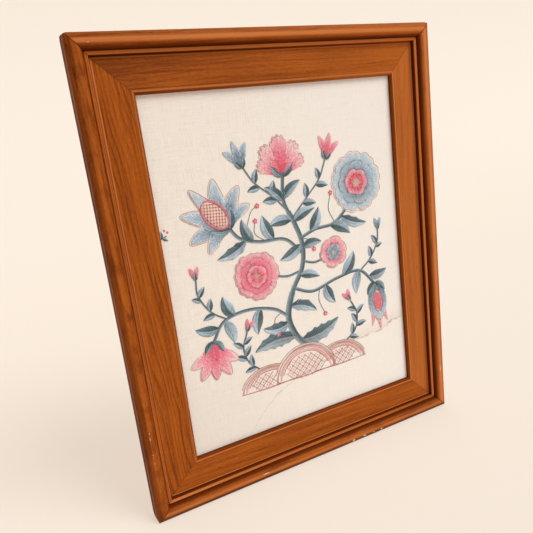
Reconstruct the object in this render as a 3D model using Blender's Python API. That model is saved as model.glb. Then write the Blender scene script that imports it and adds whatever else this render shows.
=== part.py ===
"""Framed crewel embroidery, standing upright on its bottom rail.

Four mitred lengths of one wooden moulding make the frame. The linen is stretched over a board, its
edges are turned to the board's back, and the two together sit in the rabbet behind the sight edge.

Metres, +Z up. X runs to the viewer's right, and the picture faces -Y. The origin is at the centre of
the frame's outer box, on the surface that it stands on.
"""

import math

import bmesh
import bpy

MM = 0.001

# The opening that the picture shows through, and the moulding's width and depth.
SIGHT_WIDTH = 266.7 * MM
SIGHT_HEIGHT = 342.9 * MM
RAIL_WIDTH = 49.5 * MM
RAIL_DEPTH = 20.3 * MM

FRAME_WIDTH = SIGHT_WIDTH + 2.0 * RAIL_WIDTH
FRAME_HEIGHT = SIGHT_HEIGHT + 2.0 * RAIL_WIDTH

# The moulding's section: u runs inwards from the outer side, h forwards from the back.
BACK_EASING = 0.4 * MM
ROLL_CREST_U = 7.0 * MM
ROLL_INNER_U = 13.1 * MM
ROLL_OUTER_H = 14.9 * MM
ROLL_INNER_H = 13.9 * MM
ROLL_OUTER_FULLNESS = 2.3
ROLL_INNER_FULLNESS = 2.0
REED_START_U = 14.1 * MM
REED_WIDTH = 1.5 * MM
REED_H = 14.5 * MM
REED_RISE = 0.35 * MM
REED_COUNT = 2
GROOVE_WIDTH = 0.7 * MM
GROOVE_H = 9.6 * MM
PANEL_EDGE_RADIUS = 1.1 * MM
PANEL_START_H = 10.7 * MM
PANEL_END_U = 44.9 * MM
PANEL_END_H = 13.0 * MM
LIP_DIP = 0.25 * MM
LIP_CREST_U = 46.7 * MM
LIP_CREST_H = 13.9 * MM
LIP_SIDE_H = 11.2 * MM
RABBET_WIDTH = 7.0 * MM
RABBET_H = 9.2 * MM

# Free space between pieces.
GAP = 0.3 * MM

# The board with the linen round it is 11 by 14 inches. The linen's turned edge is its hem.
PICTURE_WIDTH = 279.4 * MM
PICTURE_HEIGHT = 355.6 * MM
LINEN_THICKNESS = 1.0 * MM
LINEN_TURNED_EDGE = 26.0 * MM
BOARD_THICKNESS = 3.2 * MM

ROLL_STEPS = 12
REED_STEPS = 6
EDGE_STEPS = 4
LIP_STEPS = 6

SMOOTH_ANGLE = math.radians(28.0)

WOOD = {"name": "stained_pine", "color": (0.34, 0.10, 0.022), "roughness": 0.42}
LINEN = {"name": "natural_linen", "color": (0.83, 0.74, 0.63), "roughness": 0.9}
BOARD = {"name": "grey_board", "color": (0.36, 0.31, 0.25), "roughness": 0.85}


def quarter_round(centre, half_width, height, fullness, steps, rising):
    """A quarter superellipse over the centre: up its left side if rising, down its right if not."""
    points = []
    for step in range(steps + 1):
        angle = 0.5 * math.pi * step / steps
        if not rising:
            angle = 0.5 * math.pi - angle
        across = half_width * math.cos(angle) ** (2.0 / fullness)
        up = height * math.sin(angle) ** (2.0 / fullness)
        points.append((centre[0] - across if rising else centre[0] + across, centre[1] + up))
    return points


def half_sine(start, end, rise, steps):
    """A low swelling, or a dip where rise is negative, over the straight line from start to end."""
    points = []
    for step in range(steps + 1):
        share = step / steps
        u = start[0] + (end[0] - start[0]) * share
        h = start[1] + (end[1] - start[1]) * share + rise * math.sin(math.pi * share)
        points.append((u, h))
    return points


def roll_points():
    """The large rounded bead along the frame's outer edge."""
    outer = quarter_round(
        (ROLL_CREST_U, ROLL_OUTER_H), ROLL_CREST_U, RAIL_DEPTH - ROLL_OUTER_H,
        ROLL_OUTER_FULLNESS, ROLL_STEPS, rising=True,
    )
    inner = quarter_round(
        (ROLL_CREST_U, ROLL_INNER_H), ROLL_INNER_U - ROLL_CREST_U, RAIL_DEPTH - ROLL_INNER_H,
        ROLL_INNER_FULLNESS, ROLL_STEPS, rising=False,
    )
    return outer + inner[1:]


def reed_points():
    """The small reeds beside the bead, which share the V between them."""
    points = [(REED_START_U, ROLL_INNER_H)]
    for reed in range(REED_COUNT):
        start = (REED_START_U + reed * REED_WIDTH, REED_H)
        end = (start[0] + REED_WIDTH, REED_H)
        swelling = half_sine(start, end, REED_RISE, REED_STEPS)
        points += swelling if reed == 0 else swelling[1:]
    return points


def panel_points():
    """The narrow groove, then the wide flat with its rounded outer edge."""
    reed_end_u = REED_START_U + REED_COUNT * REED_WIDTH
    panel_u = reed_end_u + GROOVE_WIDTH
    edge = quarter_round(
        (panel_u + PANEL_EDGE_RADIUS, GROOVE_H), PANEL_EDGE_RADIUS, PANEL_START_H - GROOVE_H,
        2.0, EDGE_STEPS, rising=True,
    )
    return [(reed_end_u, GROOVE_H)] + edge + [(PANEL_END_U, PANEL_END_H)]


def lip_points():
    """The dip and the quarter round that end the moulding at the sight edge."""
    dip_end = (LIP_CREST_U, LIP_CREST_H)
    dip = half_sine((PANEL_END_U, PANEL_END_H), dip_end, -LIP_DIP, LIP_STEPS)
    fall = quarter_round(
        (LIP_CREST_U, LIP_SIDE_H), RAIL_WIDTH - LIP_CREST_U, LIP_CREST_H - LIP_SIDE_H,
        2.0, LIP_STEPS, rising=False,
    )
    return dip[1:] + fall[1:]


def moulding_section():
    """The closed outline of the moulding as (u, h) points, from the back edge round the front."""
    rabbet_u = RAIL_WIDTH - RABBET_WIDTH
    section = [(BACK_EASING, 0.0), (0.0, BACK_EASING)]
    section += roll_points() + reed_points() + panel_points() + lip_points()
    section += [(RAIL_WIDTH, RABBET_H), (rabbet_u, RABBET_H)]
    section += [(rabbet_u, BACK_EASING), (rabbet_u - BACK_EASING, 0.0)]
    return section


def new_material(look):
    material = bpy.data.materials.new(look["name"])
    material.use_nodes = True
    shader = material.node_tree.nodes["Principled BSDF"]
    shader.inputs["Base Color"].default_value = (*look["color"], 1.0)
    shader.inputs["Roughness"].default_value = look["roughness"]
    shader.inputs["Metallic"].default_value = 0.0
    material.diffuse_color = (*look["color"], 1.0)
    return material


def new_object(name, shape, material, parent):
    """Turns a bmesh into an object that hangs under the frame's empty."""
    bmesh.ops.recalc_face_normals(shape, faces=shape.faces)
    mesh = bpy.data.meshes.new(name)
    shape.to_mesh(mesh)
    shape.free()
    mesh.materials.append(material)
    mesh.shade_smooth()
    mesh.set_sharp_from_angle(angle=SMOOTH_ANGLE)
    thing = bpy.data.objects.new(name, mesh)
    bpy.context.scene.collection.objects.link(thing)
    thing.parent = parent
    return thing


def mitred_rail(name, length, material, parent):
    """One rail with its outer side on the object's X axis, its face to -Y and its inner side up.

    The section is filled at the left mitre and extruded, and the new end is mirrored in X, which
    puts it at the right mitre.
    """
    shape = bmesh.new()
    setback = GAP * math.sqrt(0.5)
    left_end = [
        shape.verts.new((-0.5 * length + u + setback, 0.5 * RAIL_DEPTH - h, u))
        for u, h in moulding_section()
    ]
    cap = shape.faces.new(left_end)
    extruded = bmesh.ops.extrude_face_region(shape, geom=[cap], use_keep_orig=True)
    for vert in extruded["geom"]:
        if isinstance(vert, bmesh.types.BMVert):
            vert.co.x = -vert.co.x
    return new_object(name, shape, material, parent)


def rectangle(shape, width, height, y):
    """Four corners of a rectangle round the Y axis."""
    corners = ((-0.5, -0.5), (0.5, -0.5), (0.5, 0.5), (-0.5, 0.5))
    return [shape.verts.new((x * width, y, z * height)) for x, z in corners]


def bridged_rectangles(shape, loops):
    """A skin through the rectangles in their order, closed by a face on the first and the last."""
    for before, after in zip(loops, loops[1:]):
        for i in range(4):
            j = (i + 1) % 4
            shape.faces.new((before[i], before[j], after[j], after[i]))
    shape.faces.new(loops[0])
    shape.faces.new(list(reversed(loops[-1])))


def build_linen(parent, centre_z, front_y):
    """The cloth over the board's front and sides, and turned in over the rim of its back."""
    pocket = BOARD_THICKNESS + 2.0 * GAP
    inner_width = PICTURE_WIDTH - 2.0 * LINEN_THICKNESS
    inner_height = PICTURE_HEIGHT - 2.0 * LINEN_THICKNESS
    window_width = PICTURE_WIDTH - 2.0 * LINEN_TURNED_EDGE
    window_height = PICTURE_HEIGHT - 2.0 * LINEN_TURNED_EDGE
    pocket_front_y = front_y + LINEN_THICKNESS
    pocket_back_y = pocket_front_y + pocket
    back_y = pocket_back_y + LINEN_THICKNESS
    shape = bmesh.new()
    loops = [
        rectangle(shape, PICTURE_WIDTH, PICTURE_HEIGHT, front_y),
        rectangle(shape, PICTURE_WIDTH, PICTURE_HEIGHT, back_y),
        rectangle(shape, window_width, window_height, back_y),
        rectangle(shape, window_width, window_height, pocket_back_y),
        rectangle(shape, inner_width, inner_height, pocket_back_y),
        rectangle(shape, inner_width, inner_height, pocket_front_y),
    ]
    bridged_rectangles(shape, loops)
    linen = new_object("linen", shape, new_material(LINEN), parent)
    linen.location.z = centre_z


def build_board(parent, centre_z, front_y):
    """The board inside the linen."""
    inset = 2.0 * (LINEN_THICKNESS + GAP)
    shape = bmesh.new()
    loops = [
        rectangle(shape, PICTURE_WIDTH - inset, PICTURE_HEIGHT - inset, y)
        for y in (front_y, front_y + BOARD_THICKNESS)
    ]
    bridged_rectangles(shape, loops)
    board = new_object("mount_board", shape, new_material(BOARD), parent)
    board.location.z = centre_z


def build_frame(parent):
    """The four rails, each turned and moved to its side of the frame."""
    wood = new_material(WOOD)
    half_width = 0.5 * FRAME_WIDTH
    half_height = 0.5 * FRAME_HEIGHT
    rails = (
        {"name": "bottom_rail", "length": FRAME_WIDTH, "turn": 0.0, "at": (0.0, 0.0)},
        {"name": "right_stile", "length": FRAME_HEIGHT, "turn": 90.0, "at": (half_width, half_height)},
        {"name": "top_rail", "length": FRAME_WIDTH, "turn": 180.0, "at": (0.0, FRAME_HEIGHT)},
        {"name": "left_stile", "length": FRAME_HEIGHT, "turn": 270.0, "at": (-half_width, half_height)},
    )
    for rail in rails:
        piece = mitred_rail(rail["name"], rail["length"], wood, parent)
        piece.rotation_euler.y = -math.radians(rail["turn"])
        piece.location = (rail["at"][0], 0.0, rail["at"][1])


def main():
    for old in list(bpy.data.objects):
        bpy.data.objects.remove(old, do_unlink=True)
    holder = bpy.data.objects.new("frame_origin", None)
    bpy.context.scene.collection.objects.link(holder)
    build_frame(holder)
    linen_front_y = 0.5 * RAIL_DEPTH - RABBET_H + GAP
    build_linen(holder, 0.5 * FRAME_HEIGHT, linen_front_y)
    build_board(holder, 0.5 * FRAME_HEIGHT, linen_front_y + LINEN_THICKNESS + GAP)


main()
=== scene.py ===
import math

import bpy
import numpy as np
from mathutils import Matrix, Vector


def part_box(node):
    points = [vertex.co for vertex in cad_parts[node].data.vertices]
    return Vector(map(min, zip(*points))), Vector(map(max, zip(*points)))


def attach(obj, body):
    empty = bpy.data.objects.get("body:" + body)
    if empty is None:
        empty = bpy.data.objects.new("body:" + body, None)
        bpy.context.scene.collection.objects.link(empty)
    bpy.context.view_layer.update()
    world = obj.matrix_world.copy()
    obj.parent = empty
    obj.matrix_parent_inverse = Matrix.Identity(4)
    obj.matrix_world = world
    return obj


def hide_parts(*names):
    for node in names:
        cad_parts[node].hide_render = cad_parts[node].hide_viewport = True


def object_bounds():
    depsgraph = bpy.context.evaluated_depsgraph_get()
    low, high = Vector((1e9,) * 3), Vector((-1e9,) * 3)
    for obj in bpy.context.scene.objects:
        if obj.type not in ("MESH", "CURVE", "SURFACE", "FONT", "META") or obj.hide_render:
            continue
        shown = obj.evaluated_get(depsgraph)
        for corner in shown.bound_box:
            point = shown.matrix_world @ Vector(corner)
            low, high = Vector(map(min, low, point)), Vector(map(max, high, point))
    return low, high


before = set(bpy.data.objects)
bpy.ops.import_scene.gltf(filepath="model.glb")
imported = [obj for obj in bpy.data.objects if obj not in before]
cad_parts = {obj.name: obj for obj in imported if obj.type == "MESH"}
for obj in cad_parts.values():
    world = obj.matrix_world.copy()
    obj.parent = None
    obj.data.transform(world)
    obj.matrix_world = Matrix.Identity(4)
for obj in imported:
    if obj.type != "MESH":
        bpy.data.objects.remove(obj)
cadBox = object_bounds()

mm = 0.001
tau = 2.0 * math.pi

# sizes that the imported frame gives
frameWidth = cadBox[1].x - cadBox[0].x
frameHeight = cadBox[1].z
frameDepth = cadBox[1].y - cadBox[0].y
backY = cadBox[1].y
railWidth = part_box("bottom_rail")[1].z
linenLow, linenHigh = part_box("linen")
linenCentreZ = 0.5 * (linenLow.z + linenHigh.z)


# meshes

def meshOf(name, points, corners, starts, material, values=None, sharpAngle=None):
    # corners lists every face's points one after another, starts says where each face begins
    mesh = bpy.data.meshes.new(name)
    mesh.vertices.add(len(points))
    mesh.loops.add(len(corners))
    mesh.polygons.add(len(starts))
    mesh.vertices.foreach_set("co", np.ascontiguousarray(points, np.float32).ravel())
    mesh.loops.foreach_set("vertex_index", np.ascontiguousarray(corners, np.int32))
    mesh.polygons.foreach_set("loop_start", np.ascontiguousarray(starts, np.int32))
    mesh.update(calc_edges=True)
    for key, value in (values or {}).items():
        kind, field = ("FLOAT", "value") if value.ndim == 1 else ("FLOAT_VECTOR", "vector")
        attribute = mesh.attributes.new(key, kind, "POINT")
        attribute.data.foreach_set(field, np.ascontiguousarray(value, np.float32).ravel())
    mesh.validate()
    mesh.shade_smooth()
    if sharpAngle:
        mesh.set_sharp_from_angle(angle=math.radians(sharpAngle))
    mesh.materials.append(material)
    piece = bpy.data.objects.new(name, mesh)
    bpy.context.scene.collection.objects.link(piece)
    return piece


def tubeFaces(rings, sides):
    # quads round every ring pair, then one face for each end, all pointing outwards
    ring = np.arange(rings - 1)[:, None] * sides
    side = np.arange(sides)[None, :]
    after = (side + 1) % sides
    quads = np.stack([ring + side, ring + after, ring + sides + after, ring + sides + side], -1)
    caps = np.stack([np.arange(sides)[::-1], (rings - 1) * sides + np.arange(sides)])
    return quads.reshape(-1, 4), caps


def gridFaces(number):
    # quads of a grid whose points have these numbers
    return np.stack([number[:-1, :-1], number[1:, :-1], number[1:, 1:], number[:-1, 1:]], -1).reshape(-1, 4)


# shader maths

class Wire:
    # one output socket: sums and products on it add Math nodes to its tree
    def __init__(self, tree, socket=None):
        self.tree = tree
        self.socket = socket

    def node(self, kind, settings=None, inputs=None, output=0):
        made = self.tree.nodes.new(kind)
        for key, value in (settings or {}).items():
            if key == "stops":
                fillRamp(made.color_ramp, value)
            else:
                setattr(made, key, value)
        for key, value in (inputs or {}).items():
            if isinstance(value, Wire):
                self.tree.links.new(value.socket, made.inputs[key])
            else:
                made.inputs[key].default_value = value
        return Wire(self.tree, made.outputs[output])

    def maths(self, operation, *values, clamp=False):
        # on the values in their order, or on this socket alone
        settings = {"operation": operation, "use_clamp": clamp}
        return self.node("ShaderNodeMath", settings, dict(enumerate(values or (self,))))

    def __add__(self, other):
        return self.maths("ADD", self, other)

    def __sub__(self, other):
        return self.maths("SUBTRACT", self, other)

    def __rsub__(self, other):
        return self.maths("SUBTRACT", other, self)

    def __mul__(self, other):
        return self.maths("MULTIPLY", self, other)

    def __truediv__(self, other):
        return self.maths("DIVIDE", self, other)

    def __pow__(self, other):
        return self.maths("POWER", self, other)

    __radd__ = __add__
    __rmul__ = __mul__

    def clamped(self):
        return self.maths("ADD", self, 0.0, clamp=True)

    def most(self, other):
        return self.maths("MAXIMUM", self, other)

    def off(self, low, high):
        # 1 below low, 0 above high, smooth between
        return 1.0 - self.step(low, high)

    def step(self, low, high):
        # 0 below low, 1 above high, smooth between
        settings = {"interpolation_type": "SMOOTHSTEP"}
        return self.node("ShaderNodeMapRange", settings, {0: self, 1: low, 2: high, 3: 0.0, 4: 1.0})

    def band(self, low, high, soft):
        # 1 between low and high, with soft shoulders
        return self.step(low - soft, low) * self.off(high, high + soft)

    def parts(self):
        return [self.node("ShaderNodeSeparateXYZ", None, {0: self}, i) for i in range(3)]

    def mixed(self, factor, other, mode="MIX"):
        # this colour turning into the other as factor rises
        settings = {"data_type": "RGBA", "blend_type": mode, "clamp_factor": True}
        return self.node("ShaderNodeMix", settings, {0: factor, 6: self, 7: other}, 2)


def fillRamp(ramp, stops):
    while len(ramp.elements) < len(stops):
        ramp.elements.new(0.5)
    for element, (place, colour) in zip(ramp.elements, stops):
        element.position = place
        element.color = colour


def colour(red, green, blue):
    # a colour as the eye names it, 0 to 255, in the shader's linear values
    eye = np.array([red, green, blue]) / 255.0
    linear = np.where(eye <= 0.04045, eye / 12.92, ((eye + 0.055) / 1.055) ** 2.4)
    return (*(float(x) for x in linear), 1.0)


def newMaterial(name, fixed):
    material = bpy.data.materials.new(name)
    material.use_nodes = True
    tree = material.node_tree
    shader = tree.nodes["Principled BSDF"]
    for key, value in fixed.items():
        shader.inputs[key].default_value = value
    return material, Wire(tree), shader


def plug(wire, shader, name):
    wire.tree.links.new(wire.socket, shader.inputs[name])


def bumped(height, strength, distance, under=None):
    inputs = {"Strength": strength, "Distance": distance, "Height": height}
    if under:
        inputs["Normal"] = under
    return height.node("ShaderNodeBump", None, inputs)


def stretchedNoise(place, scales, detail=3.0, rough=0.55):
    # noise on a place whose three axes are stretched apart; a scale is in waves to the metre
    moved = place.node("ShaderNodeMapping", None, {"Vector": place, "Scale": scales})
    inputs = {"Vector": moved, "Scale": 1.0, "Detail": detail, "Roughness": rough}
    return place.node("ShaderNodeTexNoise", None, inputs)


def noises(place, table):
    return {key: stretchedNoise(place, *row) for key, row in table.items()}


def plain(start, tone):
    wire = start.node("ShaderNodeRGB")
    wire.socket.default_value = tone
    return wire


# stained and lacquered pine

# pale crests: painted highlight as well as wear; dark hollows: painted shade as well as stain, and dark
# joints and bruises; dark outer slope: painted shade
wood = {
    "early": colour(174, 87, 23), "late": colour(112, 46, 7), "hollow": colour(92, 34, 4),
    "rubAndHighlight": colour(212, 125, 67), "chip": colour(240, 216, 190), "outerSideDark": colour(92, 42, 10),
    "slopeShade": colour(88, 40, 12), "roughness": 0.42, "specular": 0.06, "specularTint": (1.0, 0.8, 0.6, 1.0),
}
# waves to the metre along the rail, across it and in depth, then how many finer layers and their strength
woodNoises = {
    "slow": ((6.0, 30.0, 30.0), 2.0), "quick": ((24.0, 60.0, 60.0), 3.0, 0.6),
    "fibre": ((11.0, 420.0, 420.0), 4.0, 0.68), "fleck": ((38.0, 1300.0, 1300.0), 2.0, 0.6),
    "pore": ((260.0, 950.0, 950.0), 2.0, 0.6), "cloud": ((10.0, 38.0, 38.0), 2.0, 0.5),
    "streak": ((6.0, 170.0, 170.0), 3.0, 0.62), "patchy": ((13.0, 70.0, 70.0), 2.0, 0.5),
    "blotch": ((48.0, 85.0, 85.0), 3.0, 0.6), "ragged": ((700.0, 1500.0, 1500.0), 2.0),
}
# millimetres from the rail's outer side: where a band starts and ends, and how wide its shoulders are
# the reed, line, lip and ridge bands are pale: painted highlight as well as wear
woodBands = {
    "reeds": (14.3, 16.9, 0.2), "line": (18.3, 19.3, 0.5), "lipRubAndHighlight": (45.9, 47.3, 0.9),
    "ridgeHighlight": (6.2, 7.8, 2.2), "groove": (17.05, 17.75, 0.08), "dip": (45.0, 45.6, 0.6),
    "beside": (17.8, 19.6, 5.0),
}
# millimetres across the moulding, above its back or from the mitre: where a mask begins and where it is full
woodSteps = {
    "beadEnd": (11.5, 14.0), "quirk": (9.8, 12.8), "reedEdge": (14.0, 14.25), "grooveTop": (12.9, 13.9),
    "panelEdge": (17.0, 17.8), "lip": (47.1, 47.9), "rebateTop": (11.2, 12.0), "front": (7.0, 8.5),
    "mitre": (0.1, 1.0), "outerSide": (0.1, 1.2), "outerSideDarkTop": (8.0, 15.0), "slopeEnd": (3.0, 7.2),
    "spotHeight": (10.0, 11.0),
}
# per rail: where its pith lies and how it leans, and how far apart and how strong its rings are; at its start
# and its end, how deep its stain went, how light the line beside the reeds and the reeds are, and how dark
# its groove and lip are; how light its ridge and its lip's crest are and how far its whole face is rubbed;
# how dark its outer slope, its quirk, the flat beside the groove and the bead's blotches are; how far each
# edge is bowed. The light bands are painted highlight as well as wear, the dark groove, lip, quirk and flat
# are painted shade as well as stain, and the dark outer slope is painted shade
grains = {
    "bottom_rail": {
        "shift": 1.7, "pith": (62.0 * mm, -28.0 * mm), "lean": 0.06, "ring": 3.3 * mm, "figure": 0.5,
        "depth": (0.12, 0.14), "line": (0.9, 0.9), "reeds": (0.8, 0.1), "groove": (0.9, 0.9),
        "lip": (0.75, 0.75), "ridgeHighlight": 0.45, "lipRubAndHighlight": 0.7, "fade": 0.05, "slopeShade": 0.9, "quirk": 0.9,
        "beside": 0.0, "blotch": 0.45, "bow": (0.0, 0.3),
    },
    "right_stile": {
        "shift": 5.3, "pith": (2.0 * mm, -70.0 * mm), "lean": 0.012, "ring": 3.1 * mm, "figure": 0.35,
        "depth": (0.10, 0.0), "line": (0.8, 0.8), "reeds": (0.5, 0.6), "groove": (0.95, 0.95),
        "lip": (0.65, 0.65), "ridgeHighlight": 0.7, "lipRubAndHighlight": 0.7, "fade": 0.28, "slopeShade": 0.0, "quirk": 0.95,
        "beside": 0.42, "blotch": 0.45, "bow": (0.0, 0.8),
    },
    "top_rail": {
        "shift": 9.1, "pith": (70.0 * mm, -24.0 * mm), "lean": -0.03, "ring": 2.9 * mm, "figure": 0.40,
        "depth": (-0.14, 0.52), "line": (0.6, 0.4), "reeds": (0.3, 0.3), "groove": (0.1, 0.9),
        "lip": (0.0, 0.8), "ridgeHighlight": 0.75, "lipRubAndHighlight": 0.4, "fade": 0.06, "slopeShade": 0.0, "quirk": 0.85,
        "beside": 0.0, "blotch": 0.15, "bow": (0.0, 0.3),
    },
    "left_stile": {
        "shift": 13.9, "pith": (-30.0 * mm, -16.0 * mm), "lean": -0.08, "ring": 3.4 * mm, "figure": 0.75,
        "depth": (0.14, 0.12), "line": (1.0, 0.05), "reeds": (0.2, 0.2), "groove": (0.0, 0.0),
        "lip": (0.3, 0.3), "ridgeHighlight": 0.05, "lipRubAndHighlight": 0.35, "fade": 0.05, "slopeShade": 0.45, "quirk": 0.05,
        "beside": 0.0, "blotch": 0.45, "bow": (0.5, 1.1),
    },
}
# specks where the lacquer is knocked off: place along the rail, place from its outer side, length, width
chips = {
    "bottom_rail": [(227.0, 4.0, 1.7, 1.5), (242.0, 4.7, 2.4, 0.9), (255.0, 4.5, 0.9, 0.8),
                    (266.0, 3.8, 1.5, 1.4), (116.0, 8.0, 4.2, 0.45)],
    "right_stile": [(51.5, 6.8, 5.4, 0.35), (429.5, 9.2, 0.6, 0.45)],
    "top_rail": [(347.5, 8.3, 0.6, 0.25)],
    "left_stile": [(346.0, 7.3, 1.2, 0.25), (351.5, 6.8, 1.9, 0.28), (368.0, 6.8, 1.0, 0.24),
                   (371.5, 6.7, 0.8, 0.2), (377.0, 7.0, 0.9, 0.24)],
}
# dark pits and bruises, in the same way
bruises = {
    "bottom_rail": [(70.0, 30.0, 1.6, 0.5)],
    "right_stile": [(180.0, 26.0, 3.0, 0.6)],
    "top_rail": [(120.0, 38.0, 2.4, 0.4)],
    "left_stile": [(10.0, 1.8, 1.3, 1.0), (31.0, 3.6, 6.0, 1.6), (303.0, 47.0, 1.4, 0.7)],
}


def pineMaterial(rail, length):
    fixed = {"Specular IOR Level": wood["specular"], "Specular Tint": wood["specularTint"]}
    material, start, shader = newMaterial(f"{rail}_pine", fixed)
    grain = grains[rail]
    place = start.node("ShaderNodeAttribute", {"attribute_name": "grainPlace"}, None, "Vector")
    along, across, height = place.parts()
    shifted = start.node("ShaderNodeVectorMath", {"operation": "ADD"}, {0: place, 1: (grain["shift"],) * 3})
    noise = noises(shifted, woodNoises)
    fibre, cloud = noise["fibre"], noise["cloud"]

    def past(wire, key):
        low, high = woodSteps[key]
        return wire.step(low * mm, high * mm)

    def band(wire, key):
        low, high, soft = woodBands[key]
        return wire.band(low * mm, high * mm, soft * mm)

    # what changes from the rail's start to its end runs straight between its two values
    ends = (grain[key] for key in ("depth", "line", "reeds", "groove", "lip"))
    depth, line, reedRub, grooveStain, lipStain = (
        along * ((last - first) / length) + first for first, last in ends)

    # growth rings: distance from a pith that leans away from the rail's line, bent by slow noise
    slow, quick = noise["slow"] - 0.5, noise["quick"] - 0.5
    offU = across - grain["pith"][0] + along * grain["lean"] + slow * 0.022 + quick * 0.003
    offH = height - grain["pith"][1] + slow * 0.006
    ring = ((offU * offU + offH * offH) ** 0.5 / grain["ring"]).maths("FRACT")
    lateWood = ring ** 3.0 * ring.off(0.86, 1.0)
    patchy = noise["patchy"].step(0.34, 0.66) * 0.7 + 0.3
    # the round edge took its stain in patches
    bead = 1.0 - past(across, "beadEnd")
    blotch = noise["blotch"].step(0.46, 0.68) * bead * grain["blotch"]
    dark = (lateWood * patchy * (1.35 * grain["figure"]) + (fibre - 0.5) * 1.3 + (noise["pore"] - 0.5) * 0.9
            + noise["fleck"].step(0.55, 0.72) * 0.3 + noise["streak"].step(0.46, 0.68) * 0.30
            + (cloud - 0.5) * 0.6 + depth + 0.07 + blotch).clamped()
    tone = plain(start, wood["early"]).mixed(dark, wood["late"]).mixed(grain["fade"], wood["rubAndHighlight"])

    # painted highlight on the crests, as well as stain rubbed off them; the flat back has no crest
    front = past(height, "front")
    rubAndHighlight = (band(across, "reeds") * reedRub + band(across, "line") * line
             + band(across, "lipRubAndHighlight") * grain["lipRubAndHighlight"] + band(across, "ridgeHighlight") * grain["ridgeHighlight"])
    tone = tone.mixed((rubAndHighlight * (0.6 + cloud * 0.8)).clamped() * front, wood["rubAndHighlight"])

    # painted shade, as well as stain, darkens the quirk, the groove, the lip's inner slope, the rebate wall,
    # the dip before the lip and the flat beside the groove; the mitres are dark joints
    wander = (fibre - 0.5) * (0.8 * mm)
    u = across + wander
    uneven = 0.8 + cloud * 0.4
    quirk = past(u, "quirk") * (1.0 - past(across, "reedEdge")) * uneven
    groove = band(across, "groove") * (1.0 - past(height, "grooveTop"))
    beside = band(u, "beside") * (cloud * 1.2 + 0.4) * grain["beside"] * past(across, "panelEdge")
    lip = past(across, "lip")
    rebate = lip * (1.0 - past(height, "rebateTop")) * 0.9
    deep = (quirk * grain["quirk"]).most(groove * grooveStain).most(lip * lipStain * uneven)
    deep = deep.most(rebate).most(band(u, "dip") * 0.3).most(beside)
    toMitre = (along - across).maths("MINIMUM", along - across, length - along - across)
    mitre = (1.0 - past(toMitre + wander * 0.5, "mitre")) * (0.15 + cloud * 0.5 + bead * 0.45)
    deep = (deep * front).most(mitre).clamped()
    tone = tone.mixed(deep, wood["hollow"])

    # painted shade on the outer slope, and the outer side made darker, most near the back
    slope = (1.0 - past(across, "slopeEnd")) * front
    outerSide = 1.0 - past(across, "outerSide")
    outerSideDark = outerSide * (1.0 - past(height, "outerSideDarkTop")) * (0.45 + cloud * 0.5)
    tone = tone.mixed(slope * grain["slopeShade"] * (0.6 + cloud * 0.8), wood["slopeShade"])
    tone = tone.mixed(outerSideDark, wood["outerSideDark"])

    def spots(marks):
        # ragged ovals: the sum of two squared distances, each over its own reach, stays under 1
        found = None
        for spotAlong, spotU, spotLength, spotWidth in marks:
            offA = (along - spotAlong * mm) / (spotLength * mm)
            offB = (across - spotU * mm) / (spotWidth * mm)
            spot = (offA * offA + offB * offB + (noise["ragged"] - 0.5) * 2.6).off(0.4, 1.0)
            found = found.most(spot) if found else spot
        return found * past(height, "spotHeight")

    bare = spots(chips[rail])
    tone = tone.mixed(spots(bruises[rail]) * 0.65, wood["hollow"]).mixed(bare * 0.8, wood["chip"])

    plug(tone, shader, "Base Color")
    rough = wood["roughness"] + dark * 0.10 + deep * 0.3 + bare * 0.3 + outerSideDark * 0.3
    plug(rough.clamped(), shader, "Roughness")
    pores = bumped(dark * 0.7 + fibre * 0.5, 0.35, 0.12 * mm)
    plug(bumped(bare * -1.0, 0.6, 0.25 * mm, pores), shader, "Normal")
    return material


# the moulding: its outline in millimetres, u inwards from the outer side and h up from the back

moulding = {
    "ease": 0.4, "rollCrest": 7.0, "rollOuterH": 14.9, "rollInner": 13.1, "rollInnerH": 13.9,
    "reedStart": 14.1, "reedWidth": 1.5, "reedH": 14.5, "reedRise": 0.35,
    "grooveWidth": 0.7, "grooveH": 9.6, "edgeRadius": 1.1, "panelH": 10.7,
    "panelEnd": 44.9, "panelEndH": 13.0, "lipDip": 0.25, "lipCrest": 46.7, "lipCrestH": 13.9,
    "lipSideH": 11.2, "rabbetWidth": 7.0, "rabbetH": 9.2,
    "stations": 121, "mitreGap": 0.1, "cornerRadius": (1.0, 3.6), "sharpAngle": 34.0,
    "cornerFrom": 7.0, "cornerOver": 8.0, "wave": 0.04, "waveTurns": (41.0, 17.0), "waveFrom": 12.0,
    "waveOver": 8.0, "chipDepth": 0.22, "chipEase": (0.6, 0.5), "chipFloor": 10.0,
}


def quarterRound(centre, halfWidth, height, fullness, steps, rising):
    # quarter of a superellipse: up its left side if rising, down its right side if not
    angle = np.linspace(0.0, 0.25 * tau, steps)
    angle = angle if rising else angle[::-1]
    across = halfWidth * np.cos(angle) ** (2.0 / fullness)
    up = height * np.sin(angle) ** (2.0 / fullness)
    return np.stack([centre[0] + (-across if rising else across), centre[1] + up], 1)


def swelling(start, end, rise, steps):
    # straight line from start to end with half a sine of that rise on it
    share = np.linspace(0.0, 1.0, steps)[:, None]
    line = np.array(start) * (1.0 - share) + np.array(end) * share
    line[:, 1] += rise * np.sin(0.5 * tau * share[:, 0])
    return line


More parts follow.
